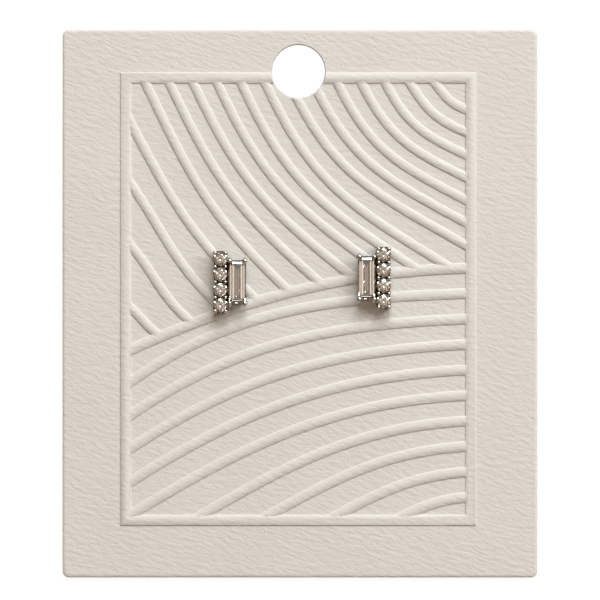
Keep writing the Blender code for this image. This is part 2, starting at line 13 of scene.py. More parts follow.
import bmesh
import bpy
import numpy as np
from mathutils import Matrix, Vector


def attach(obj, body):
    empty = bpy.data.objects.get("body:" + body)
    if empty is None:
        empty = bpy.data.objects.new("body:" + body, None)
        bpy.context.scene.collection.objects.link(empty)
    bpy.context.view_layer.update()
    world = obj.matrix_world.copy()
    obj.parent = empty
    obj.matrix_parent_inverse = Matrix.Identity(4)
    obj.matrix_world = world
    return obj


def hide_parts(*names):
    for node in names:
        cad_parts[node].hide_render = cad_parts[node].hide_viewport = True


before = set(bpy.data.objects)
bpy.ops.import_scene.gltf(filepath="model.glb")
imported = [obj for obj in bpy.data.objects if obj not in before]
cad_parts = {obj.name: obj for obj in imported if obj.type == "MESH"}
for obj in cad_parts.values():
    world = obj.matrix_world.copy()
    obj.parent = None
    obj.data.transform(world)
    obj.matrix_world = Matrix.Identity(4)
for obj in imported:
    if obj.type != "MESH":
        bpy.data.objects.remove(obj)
LOG = logging.getLogger("stud_earrings")
ROOT = "root"


class Side(Enum):
    """Which stud of the pair. The value is the side of the post that its bar of stones is on."""

    LEFT = -1
    RIGHT = 1

    @property
    def word(self) -> str:
        """The side's name as the pieces spell it."""
        return self.name.lower()


class Slot(Enum):
    """The record's material slots."""

    CARD = "card_board"
    POLISHED = "polished_silver"
    PLAIN = "plain_silver"
    STONE = "clear_stone"


@dataclass(frozen=True)
class RestingPose:
    """Where the card's own frame lies when the card rests on its lower edge and both post tips."""

    card_height: float = 0.0750
    card_thickness: float = 0.0010
    post_length: float = 0.0085
    post_radius: float = 0.0004
    tip_chamfer: float = 0.0002
    post_height: float = 0.0032

    @property
    def tilt(self) -> float:
        """The card's lean in radians."""
        reach = self.post_height - (self.post_radius - self.tip_chamfer) + self.card_height / 2
        return math.atan2(self.post_length, reach)

    @property
    def origin(self) -> tuple[float, float, float]:
        """The middle of the card's front face at rest."""
        back = -self.card_thickness * math.sin(self.tilt) / 2
        up = self.card_height / 2 * math.sin(self.tilt)
        return (0.0, back, up + self.card_thickness * math.cos(self.tilt))

    def laid(self, points: np.ndarray) -> np.ndarray:
        """Carries points of the card's frame to their place at rest.

        A turn about X by the tilt: Y' = Y cos - Z sin, Z' = Y sin + Z cos, then the origin.

        Args:
            points: An array whose last axis holds X, Y and Z.

        Returns:
            The points at rest, in an array of the same shape.
        """
        sine = math.sin(self.tilt)
        cosine = math.cos(self.tilt)
        turn = np.array(((1, 0, 0), (0, cosine, -sine), (0, sine, cosine)))
        return points @ turn.T + np.array(self.origin)


POSE = RestingPose()

# polar angles between which painted shade darkens a bead's side, in degrees, and how dark it gets
BEAD_SIDE_SHADE = (46.0, 80.0, 0.85)

# the mean rise of a wire's runs above which it counts as an upright one
STEEP = 0.7

# how many points go once round each kind of shape
WIRE_SIDES = 16
BEAD_SIDES = 24
PAD_SIDES = 48
POST_SIDES = 32
NUT_SIDES = 64
HANG_HOLE_SIDES = 96
POST_HOLE_SIDES = 32

# how many points go along an eased edge, a rib's crown, a domed wire end, an eased corner
# of a wire and half a bead's outline
EDGE_STEPS = 6
CROWN_STEPS = 9
DOME_STEPS = 5
CORNER_STEPS = 5
BEAD_STEPS = 21

# a noise's values lie mostly between these, and are spread out from them
NOISE_LOW = 0.3
NOISE_HIGH = 0.7


def unit(vectors: np.ndarray) -> np.ndarray:
    """The vectors of the last axis, each divided by its length."""
    return vectors / np.linalg.norm(vectors, axis=-1, keepdims=True)


def quarter_turn(steps: int) -> np.ndarray:
    """Angles from 0 to a right angle in equal steps."""
    return np.linspace(0.0, math.pi / 2, steps)


def full_turn(sides: int) -> np.ndarray:
    """Angles once round in equal steps, without the last one, which is the first again."""
    return np.linspace(0.0, 2 * math.pi, sides, endpoint=False)


def edge_out(
    radius: float, height: float, across: float, up: float, steps: int = EDGE_STEPS
) -> np.ndarray:
    """An eased edge that runs from a level face out to a radius.

    A quarter ellipse: r = radius - across (1 - sin a), z = height + up (1 - cos a).

    Args:
        radius: The radius that it reaches.
        height: The level of the face that it leaves.
        across: Its width.
        up: Its height, less than 0 where it goes down.
        steps: How many points it has.

    Returns:
        Radius and height of its points, one a row.
    """
    angle = quarter_turn(steps)
    return np.stack((radius - across * (1 - np.sin(angle)), height + up * (1 - np.cos(angle))), -1)


def edge_in(
    radius: float, height: float, across: float, up: float, steps: int = EDGE_STEPS
) -> np.ndarray:
    """An eased edge that runs from a radius in to a level face.

    A quarter ellipse: r = radius - across (1 - cos a), z = height - up (1 - sin a).

    Args:
        radius: The radius that it leaves.
        height: The level of the face that it reaches.
        across: Its width, less than 0 where it flares out.
        up: Its height, less than 0 where it goes down.
        steps: How many points it has.

    Returns:
        Radius and height of its points, one a row.
    """
    angle = quarter_turn(steps)
    return np.stack((radius - across * (1 - np.cos(angle)), height - up * (1 - np.sin(angle))), -1)


class Shells:
    """Closed shells of rings, gathered for one mesh."""

    def __init__(self) -> None:
        """Starts with no shell."""
        self.points: list[np.ndarray] = []
        self.faces: list[list[int]] = []
        # painted shade of each point, 0 to 1, which darkens the silver's colour
        self.painted_shade: list[np.ndarray] = []
        self.count = 0

    def add(self, points: np.ndarray, blocks: list[np.ndarray]) -> None:
        """Adds one shell.

        Args:
            points: Its points, one a row, in the card's frame.
            blocks: Arrays of faces, one face a row, that number those points from 0.
        """
        for block in blocks:
            self.faces.extend((block + self.count).tolist())
        self.points.append(points)
        self.painted_shade.append(np.zeros(len(points)))
        self.count += len(points)

    def paint_shade(self, depth: float | np.ndarray) -> None:
        """Sets how much painted shade the last shell's metal gets, from 0 to 1."""
        self.painted_shade[-1] = np.broadcast_to(depth, len(self.points[-1]))

    def skin(
        self,
        rings: np.ndarray,
        first: np.ndarray | None = None,
        last: np.ndarray | None = None,
        around: bool = False,
    ) -> None:
        """Joins closed rings into a shell, ring i to ring i + 1 and point j to point j + 1.

        Args:
            rings: An array of rings by points by 3.
            first: The pole that closes the first ring with a fan, or one flat face if None.
            last: The same for the last ring.
            around: Whether the last ring is joined to the first one, with no ends at all.
        """
        count, sides = rings.shape[:2]
        index = np.arange(count * sides).reshape(count, sides)
        near = index if around else index[:-1]
        far = np.roll(index, -1, 0) if around else index[1:]
        quads = np.stack((near, np.roll(near, -1, 1), np.roll(far, -1, 1), far), -1)
        blocks = [quads.reshape(-1, 4)]
        points = [rings.reshape(-1, 3)]
        ends = ((index[0][::-1], first), (index[-1], last))
        total = count * sides
        for ring, pole in () if around else ends:
            if pole is None:
                blocks.append(ring[None, :])
            else:
                tip = np.full(sides, total)
                blocks.append(np.stack((ring, np.roll(ring, -1), tip), -1))
                points.append(np.asarray(pole, float)[None, :])
                total += 1
        self.add(np.concatenate(points), blocks)

    def mesh(self, name: str) -> bpy.types.Mesh:
        """The shells as one mesh at rest, with every face turned outwards.

        Args:
            name: The mesh's name.

        Returns:
            The new mesh.
        """
        made = bpy.data.meshes.new(name)
        made.from_pydata(POSE.laid(np.concatenate(self.points)), [], self.faces)
        work = bmesh.new()
        work.from_mesh(made)
        bmesh.ops.recalc_face_normals(work, faces=work.faces)
        work.to_mesh(made)
        work.free()
        # the painted shade goes on the mesh for the silver's finish to read
        painted_shade = made.attributes.new("painted_shade", "FLOAT", "POINT")
        painted_shade.data.foreach_set("value", np.concatenate(self.painted_shade))
        return made

    def piece(self, name: str) -> bpy.types.Object:
        """The shells as an object at the origin, unturned, with its place in its mesh."""
        obj = bpy.data.objects.new(name, self.mesh(name))
        bpy.context.scene.collection.objects.link(obj)
        return obj


def rounded_corners(path: np.ndarray, reach: float) -> np.ndarray:
    """A path of straight runs with each inner corner eased.

    A corner becomes the quadratic curve (1 - t)^2 A + 2 t (1 - t) C + t^2 B, where A and B
    lie at the reach from the corner C on its two runs, or at 0.45 of a run that is shorter.

    Args:
        path: The corners of the path, one a row.
        reach: How far from each corner the curve starts.

    Returns:
        The points of the eased path.
    """
    runs = np.diff(path, axis=0)
    lengths = np.linalg.norm(runs, axis=1, keepdims=True)
    held = np.minimum(reach, 0.45 * lengths)
    ways = runs / lengths
    corners = path[1:-1]
    before = corners - ways[:-1] * held[:-1]
    after = corners + ways[1:] * held[1:]
    t = np.linspace(0.0, 1.0, CORNER_STEPS)[None, :, None]
    curves = (1 - t) ** 2 * before[:, None] + 2 * t * (1 - t) * corners[:, None]
    curves = curves + t**2 * after[:, None]
    return np.concatenate((path[:1], curves.reshape(-1, 3), path[-1:]))


def wire(shells: Shells, path: np.ndarray, radius: float) -> None:
    """A round wire along a path, with domed ends.

    Each ring is centre + radius (cos a U + sin a V), with U and V square to the path. At an
    end the rings step out along the path by radius x sin b while they shrink by cos b.

    Args:
        shells: Takes the wire.
        path: The points of its middle, one a row.
        radius: Half its thickness.
    """
    tangents = unit(np.gradient(path, axis=0))
    upright = np.abs(tangents[:, 2]).mean() > STEEP
    guide = np.array((1.0, 0.0, 0.0)) if upright else np.array((0.0, 0.0, 1.0))
    across = unit(np.cross(guide, tangents))
    over = np.cross(tangents, across)
    dome = quarter_turn(DOME_STEPS)[1:-1]
    out = np.concatenate((-np.sin(dome[::-1]), np.zeros(len(path)), np.sin(dome)))
    size = np.concatenate((np.cos(dome[::-1]), np.ones(len(path)), np.cos(dome)))
    pick = np.concatenate(
        (np.zeros(len(dome), int), np.arange(len(path)), np.full(len(dome), len(path) - 1))
    )
    centres = path[pick] + out[:, None] * radius * tangents[pick]
    angles = full_turn(WIRE_SIDES)[None, :, None]
    outward = np.cos(angles) * across[pick][:, None] + np.sin(angles) * over[pick][:, None]
    rings = centres[:, None] + radius * size[:, None, None] * outward
    shells.skin(rings, path[0] - radius * tangents[0], path[-1] + radius * tangents[-1])


def turned(
    shells: Shells,
    outline: np.ndarray,
    centre: tuple[float, float],
    sides: int,
    closed: bool = False,
) -> None:
    """A turned shape: each point of the outline is carried round an axis along Z.

    A point at radius r and height z becomes the ring (x + r cos a, y + r sin a, z).

    Args:
        shells: Takes the shape.
        outline: Radius and height of the outline's points, one a row.
        centre: X and Y of the axis.
        sides: How many points a ring has.
        closed: Whether the outline closes on itself, as for a nut with a bore.
    """
    angles = full_turn(sides)
    rings = np.empty((len(outline), sides, 3))
    rings[..., 0] = centre[0] + outline[:, :1] * np.cos(angles)
    rings[..., 1] = centre[1] + outline[:, :1] * np.sin(angles)
    rings[..., 2] = outline[:, 1:]
    shells.skin(rings, around=closed)


def ball(shells: Shells, centre: np.ndarray, radius: float) -> None:
    """A metal bead: rings of a sphere between two poles, with painted shade darkening its sides.

    The ring at polar angle b has radius r sin b and height r cos b. Its painted shade grows
    from 0 at the inner angle to the most at the outer one.

    Args:
        shells: Takes the bead.
        centre: Its middle.
        radius: Half its width.
    """
    polar = np.linspace(0.0, math.pi, BEAD_STEPS)[1:-1, None]
    around = full_turn(BEAD_SIDES)[None, :]
    rings = np.stack(
        (
            np.sin(polar) * np.cos(around),
            np.sin(polar) * np.sin(around),
            np.cos(polar) + 0 * around,
        ),
        -1,
    )
    pole = np.array((0.0, 0.0, radius))
    shells.skin(centre + radius * rings, centre + pole, centre - pole)
    inner, outer, most = BEAD_SIDE_SHADE
    height = (shells.points[-1] - centre)[:, 2] / radius
    angle = np.degrees(np.arccos(np.clip(height, -1.0, 1.0)))
    # painted shade on the bead's sides
    shells.paint_shade(most * np.clip((angle - inner) / (outer - inner), 0.0, 1.0))


def smooth(obj: bpy.types.Object, degrees: float) -> None:
    """Shades a piece smooth, with edges sharper than the angle left crisp."""
    obj.data.shade_smooth()
    obj.data.set_sharp_from_angle(angle=math.radians(degrees))


def declare(obj: bpy.types.Object, slot: Slot, *nodes: str) -> None:
    """Says what a finished piece rides on and the CAD nodes that it stands for, which it hides.

    Args:
        obj: The piece.
        slot: Not used.
        *nodes: The nodes' names.
    """
    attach(obj, ROOT)
    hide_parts(*nodes)
    LOG.info("%s stands for %s", obj.name, ", ".join(nodes))


class Nodes:
    """Adds nodes to one tree and joins them as they are added."""

    def __init__(self, tree: bpy.types.NodeTree) -> None:
        """Takes the tree that the nodes go into."""
        self.tree = tree

    def add(
        self, kind: str, inputs: dict[str | int, object] | None = None, **settings: object
    ) -> bpy.types.Node:
        """Adds one node.

        Args:
            kind: Its Blender type.
            inputs: A value, or another node's output to join, for each named or numbered input.
            **settings: Properties of the node itself.

        Returns:
            The new node.
        """
        node = self.tree.nodes.new(kind)
        node.location = (200 * (len(self.tree.nodes) % 8), -220 * (len(self.tree.nodes) // 8))
        for name, value in settings.items():
            setattr(node, name, value)
        self.feed(node, inputs or {})
        return node

    def feed(self, node: bpy.types.Node, inputs: dict[str | int, object]) -> None:
        """Gives each named or numbered input of a node a value, or another node's output.

        Args:
            node: The node.
            inputs: What each input gets.
        """
        for key, value in inputs.items():
            if isinstance(value, bpy.types.NodeSocket):
                self.tree.links.new(value, node.inputs[key])
            else:
                node.inputs[key].default_value = value

    def math(self, operation: str, first: object, second: object = 0.0) -> bpy.types.NodeSocket:
        """The result of one Math node."""
        return self.add("ShaderNodeMath", {0: first, 1: second}, operation=operation).outputs[0]

    def vector(self, operation: str, first: object, second: object) -> bpy.types.NodeSocket:
        """The result of one Vector Math node."""
        return self.add(
            "ShaderNodeVectorMath", {0: first, 1: second}, operation=operation
        ).outputs[0]

    def bump(self, height: bpy.types.NodeSocket, depth: float) -> bpy.types.NodeSocket:
        """The normal of a surface with this height over it, as deep as given in metres."""
        inputs = {"Height": height, "Strength": 1.0, "Distance": depth}
        return self.add("ShaderNodeBump", inputs).outputs[0]

    def spread(
        self, noise: bpy.types.NodeSocket, least: float, most: float
    ) -> bpy.types.NodeSocket:
        """Carries a noise's usual values to a range of values.

        Args:
            noise: The noise.
            least: What it becomes at NOISE_LOW and below.
            most: What it becomes at NOISE_HIGH and above.

        Returns:
            The spread out value.
        """
        inputs = {
            "Value": noise,
            "From Min": NOISE_LOW,
            "From Max": NOISE_HIGH,
            "To Min": least,
            "To Max": most,
        }
        return self.add("ShaderNodeMapRange", inputs).outputs[0]

    def over(self, place: object, size: object) -> bpy.types.NodeSocket:
        """A place divided by a single size, so that a pattern of size 1 gets that size."""
        return self.vector("DIVIDE", place, self.vector("ADD", size, (0.0, 0.0, 0.0)))

    def blend(
        self, share: object, first: object, second: object, kind: str = "MIX"
    ) -> bpy.types.NodeSocket:
        """Mixes two colours.

        Args:
            share: How much of the second there is.
            first: A colour of three numbers or an output.
            second: The same.
            kind: Blender's name for the way they mix.

        Returns:
            The mixed colour.
        """
        first = (*first, 1.0) if isinstance(first, tuple) else first
        second = (*second, 1.0) if isinstance(second, tuple) else second
        inputs = {"Factor": share, 6: first, 7: second}
        return self.add("ShaderNodeMix", inputs, data_type="RGBA", blend_type=kind).outputs[2]

    def group(self, tree: bpy.types.NodeTree, inputs: dict[str | int, object]) -> bpy.types.Node:
        """Places a shared effect in this tree with its own values."""
        return self.add("ShaderNodeGroup", inputs, node_tree=tree)

    def card_coordinates(self) -> bpy.types.NodeSocket:
        """Object coordinates read in the card's own frame, whatever its lean.

        Returns:
            The coordinates.
        """
        place = self.add("ShaderNodeTexCoord").outputs["Object"]
        mapping = self.add(
            "ShaderNodeMapping",
            {"Vector": place, "Location": POSE.origin, "Rotation": (POSE.tilt, 0.0, 0.0)},
            vector_type="TEXTURE",
        )
        return mapping.outputs[0]


def new_group(
    name: str, inputs: dict[str, float | None], outputs: tuple[str, ...]
) -> tuple[bpy.types.NodeTree, Nodes, bpy.types.Node, bpy.types.Node]:
    """Starts a shared effect.

    Args:
        name: The group's name.
        inputs: Its inputs with their usual values. None marks a vector.
        outputs: The names of its outputs, which are all single values.

    Returns:
        The group, a Nodes that adds to it, its input node and its output node.
    """
    tree = bpy.data.node_groups.new(name, "ShaderNodeTree")
    for label, value in inputs.items():
        kind = "NodeSocketVector" if value is None else "NodeSocketFloat"
        socket = tree.interface.new_socket(label, in_out="INPUT", socket_type=kind)
        if value is not None:
            socket.default_value = value
    for label in outputs:
        tree.interface.new_socket(label, in_out="OUTPUT", socket_type="NodeSocketFloat")
    nodes = Nodes(tree)
    return tree, nodes, nodes.add("NodeGroupInput"), nodes.add("NodeGroupOutput")


class SharedEffects:
    """The node groups that more than one finish uses, each built once."""

    def __init__(self) -> None:
        """Builds every group."""
        self.marks = self.long_marks()
        self.cloud = self.clouding()

    @staticmethod
    def long_marks() -> bpy.types.NodeTree:
        """Long wavy marks over a finer grain, as felt leaves on board and a cloth leaves on metal.

        Height = long marks x (1 - fine share) + fine grain x fine share, where the long
        marks are a noise stretched to the marks' length and width after a slow waver.

        Returns:
            The group.
        """
        tree, nodes, given, put = new_group(
            "long_marks",
            {
                "Vector": None,
                "Length": 0.003,
                "Width": 0.0006,
                "Waver": 0.0004,
                "Fine Size": 0.0002,
                "Fine Share": 0.3,
            },
            ("Height",),
        )
        place = given.outputs["Vector"]
        slow = nodes.add(
            "ShaderNodeTexNoise",
            {
                "Vector": nodes.over(place, given.outputs["Length"]),
                "Scale": 0.8,
                "Detail": 1.0,
            },
        )
        shift = nodes.vector(
            "MULTIPLY",
            nodes.vector("SUBTRACT", slow.outputs["Color"], (0.5, 0.5, 0.5)),
            nodes.vector("ADD", given.outputs["Waver"], (0.0, 0.0, 0.0)),
        )
        wavered = nodes.vector("ADD", place, shift)
        stretch = nodes.add(
            "ShaderNodeCombineXYZ",
            {
                "X": given.outputs["Length"],
                "Y": given.outputs["Width"],
                "Z": given.outputs["Width"],
            },
        )
        marks = nodes.add(
            "ShaderNodeTexNoise",
            {
                "Vector": nodes.vector("DIVIDE", wavered, stretch.outputs[0]),
                "Scale": 1.0,
                "Detail": 2.0,
                "Roughness": 0.45,
            },
        )
        grain = nodes.add(
            "ShaderNodeTexNoise",
            {
                "Vector": nodes.over(place, given.outputs["Fine Size"]),
                "Scale": 1.0,
                "Detail": 2.0,
                "Roughness": 0.6,
            },
        )
        share = given.outputs["Fine Share"]
        coarse = nodes.math("MULTIPLY", marks.outputs[0], nodes.math("SUBTRACT", 1.0, share))
        height = nodes.math("ADD", coarse, nodes.math("MULTIPLY", grain.outputs[0], share))
        nodes.feed(put, {"Height": height})
        return tree

    @staticmethod
    def clouding() -> bpy.types.NodeTree:
        """Soft patches: a slow noise with its middle spread out, held to 0 to 1.

        Returns:
            The group.
        """
        tree, nodes, given, put = new_group("clouding", {"Vector": None, "Size": 0.01}, ("Mask",))
        place = nodes.over(given.outputs["Vector"], given.outputs["Size"])
        noise = nodes.add("ShaderNodeTexNoise", {"Vector": place, "Scale": 1.0, "Detail": 2.0})
        nodes.feed(put, {"Mask": nodes.spread(noise.outputs[0], 0.0, 1.0)})
        return tree


def new_material(name: str) -> tuple[bpy.types.Material, Nodes, bpy.types.Node]:
    """Starts a finish.

    Args:
        name: The material's name.

    Returns:
        The material, a Nodes that adds to its tree and its Principled BSDF.
    """
    material = bpy.data.materials.new(name)
    material.use_nodes = True
    return material, Nodes(material.node_tree), material.node_tree.nodes["Principled BSDF"]


@dataclass(frozen=True)
class Marks:
    """The sizes of long marks and of the finer grain among them."""

    length: float
    width: float
    waver: float
    grain: float
    grain_share: float

    def placed(
        self, nodes: Nodes, effects: SharedEffects, place: bpy.types.NodeSocket
    ) -> bpy.types.NodeSocket:
        """Places the shared marks with these sizes in a material.

        Args:
            nodes: Adds to the material's tree.
            effects: The shared node groups.
            place: The coordinates that the marks follow.

        Returns:
            The marks' height.
        """
        inputs = {
            "Vector": place,
            "Length": self.length,
            "Width": self.width,
            "Waver": self.waver,
            "Fine Size": self.grain,
            "Fine Share": self.grain_share,
        }
        return nodes.group(effects.marks, inputs).outputs["Height"]


@dataclass(frozen=True)
class FeltBoard:
    """Matte warm grey board with a felt's marks in its face."""

    light: tuple[float, float, float] = (0.800, 0.785, 0.755)
    dark: tuple[float, float, float] = (0.752, 0.730, 0.693)
    roughness: float = 0.92
    gloss: float = 0.25
    marks: Marks = Marks(0.0014, 0.00050, 0.0006, 0.00030, 0.30)
    mark_depth: float = 0.00013
    mark_lean: float = 18.0
    patch_size: float = 0.012
    patch_share: float = 0.4

    def material(self, effects: SharedEffects) -> bpy.types.Material:
        """Builds the finish.

        Args:
            effects: The shared node groups.

        Returns:
            The material.
        """
        material, nodes, shader = new_material("felt_marked_board")
        place = nodes.card_coordinates()
        leaned = nodes.add(
            "ShaderNodeMapping",
            {"Vector": place, "Rotation": (0.0, 0.0, math.radians(self.mark_lean))},
        )
        height = self.marks.placed(nodes, effects, leaned.outputs[0])
        patches = nodes.group(effects.cloud, {"Vector": place, "Size": self.patch_size})
        tone = nodes.math(
            "ADD",
            nodes.math("MULTIPLY", patches.outputs["Mask"], self.patch_share),
            nodes.math("MULTIPLY", height, 1 - self.patch_share),
        )
        inputs = {
            "Base Color": nodes.blend(tone, self.dark, self.light),
            "Roughness": self.roughness,
            "Specular IOR Level": self.gloss,
            "Normal": nodes.bump(height, self.mark_depth),
        }
        nodes.feed(shader, inputs)
        return material


@dataclass(frozen=True)
class Silver:
    """Polished silver with a polishing cloth's faint marks, painted near black and duller where a
    piece carries painted shade.
    """

    name: str
    colour: tuple[float, float, float]
    worn: tuple[float, float, float]
    smoothest: float
    roughest: float
    mark_depth: float
    marks: Marks = Marks(0.0006, 0.00004, 0.0001, 0.00003, 0.4)
    patch_size: float = 0.0008
    # the near-black colour of painted shade
    painted_shade_colour: tuple[float, float, float] = (0.055, 0.040, 0.028)
    dulling: float = 0.35
    rim: tuple[float, float, float] = (0.45, 0.39, 0.33)

    def material(self, effects: SharedEffects) -> bpy.types.Material:
        """Builds the finish.

        Args:
            effects: The shared node groups.

        Returns:
            The material.
        """
        material, nodes, shader = new_material(self.name)
        place = nodes.card_coordinates()
        height = self.marks.placed(nodes, effects, place)
        patches = nodes.group(effects.cloud, {"Vector": place, "Size": self.patch_size})
        colour = nodes.blend(patches.outputs["Mask"], self.colour, self.worn)
        rough = nodes.spread(height, self.smoothest, self.roughest)
        # painted shade: darkens the silver towards near black and dulls it
        painted_shade = nodes.add("ShaderNodeAttribute", attribute_name="painted_shade").outputs["Fac"]
        dulled = nodes.math("ADD", rough, nodes.math("MULTIPLY", painted_shade, self.dulling))
        inputs = {
            "Base Color": nodes.blend(painted_shade, colour, self.painted_shade_colour),
            "Roughness": dulled,
            "Metallic": 1.0,
            "Specular Tint": (*self.rim, 1.0),
            "Normal": nodes.bump(height, self.mark_depth),
        }
        nodes.feed(shader, inputs)
        return material


@dataclass(frozen=True)
class ClearStone:
    """Clear cut stone with the least warmth, and the least haze on its facets."""

    clear: tuple[float, float, float] = (0.90, 0.85, 0.78)
    hazed: tuple[float, float, float] = (0.84, 0.79, 0.72)
    index: float = 2.35
    haze: float = 0.015
    patch_size: float = 0.0005

    def material(self, effects: SharedEffects) -> bpy.types.Material:
        """Builds the finish.

        Args:
            effects: The shared node groups.

        Returns:
            The material.
        """
        material, nodes, shader = new_material("clear_cut_stone")
        place = nodes.card_coordinates()
        patches = nodes.group(effects.cloud, {"Vector": place, "Size": self.patch_size})
        inputs = {
            "Base Color": nodes.blend(patches.outputs["Mask"], self.clear, self.hazed),
            "Roughness": nodes.math("MULTIPLY", patches.outputs["Mask"], self.haze),
            "Transmission Weight": 1.0,
            "IOR": self.index,
        }
        nodes.feed(shader, inputs)
        return material


POLISHED_SILVER = Silver(
    "polished_silver", (0.88, 0.83, 0.77), (0.78, 0.71, 0.63), 0.05, 0.13, 0.0000008
)
PLAIN_SILVER = Silver(
    "plain_silver", (0.88, 0.87, 0.85), (0.80, 0.77, 0.73), 0.16, 0.30, 0.0000015
)


@dataclass
class Rib:
    """The section of a raised rib: round shoulders under a crown, sunk a little into the board."""

    width: float
    height: float
    shoulder: float = 0.00012
    crown: float = 0.70
    sink: float = 0.00020

    def section(self) -> np.ndarray:
        """The closed outline across the rib.

        At distance s from the middle, with W the half width and u the share
        (W - |s|) / shoulder held to 1, the height is
        H ((1 - c) sqrt(1 - (1 - u)^2) + c (1 - (s / W)^2)).

        Returns:
            Distance across and height of each point, one a row.
        """
        half = self.width / 2
        edge = half - self.shoulder * (1 - np.cos(quarter_turn(EDGE_STEPS)))
        top = np.linspace(half - self.shoulder, self.shoulder - half, CROWN_STEPS)[1:-1]
        across = np.concatenate((edge, top, -edge[::-1]))
        share = np.minimum((half - np.abs(across)) / self.shoulder, 1.0)
        round_edge = np.sqrt(1 - (1 - share) ** 2)
        crown = 1 - (across / half) ** 2
        up = self.height * ((1 - self.crown) * round_edge + self.crown * crown)
        over = np.stack((across, up), -1)
        under = np.array(((-half, -self.sink), (half, -self.sink)))
        return np.concatenate((over, under))

    def along(self, shells: Shells, path: np.ndarray, around: bool = False) -> None:
        """Carries the section along a path on the card's face.

        A point at distance s and height h becomes path + s N + h Z, with N level and square
        to the path. At a mitre N is longer, so that both runs keep their width.

        Args:
            shells: Takes the rib.
            path: X and Y of the rib's middle, one point a row.
            around: Whether the path is a closed loop of straight runs with mitred corners.
        """
        if around:
            ahead = unit(np.roll(path, -1, 0) - path)
            behind = np.roll(ahead, 1, 0)
            middle = unit(ahead + behind)
            stretch = 1 / np.sum(middle * ahead, axis=1, keepdims=True)
            across = np.stack((middle[:, 1], -middle[:, 0]), -1) * stretch
        else:
            middle = unit(np.gradient(path, axis=0))
            across = np.stack((middle[:, 1], -middle[:, 0]), -1)
        section = self.section()
        rings = np.empty((len(path), len(section), 3))
        rings[..., :2] = path[:, None] + section[None, :, :1] * across[:, None]
        rings[..., 2] = section[:, 1]
        shells.skin(rings, around=around)


def heading(degrees_down: np.ndarray) -> np.ndarray:
    """Unit directions to the right that fall by these angles."""
    angle = np.radians(degrees_down)
    return np.stack((np.cos(angle), -np.sin(angle)), -1)


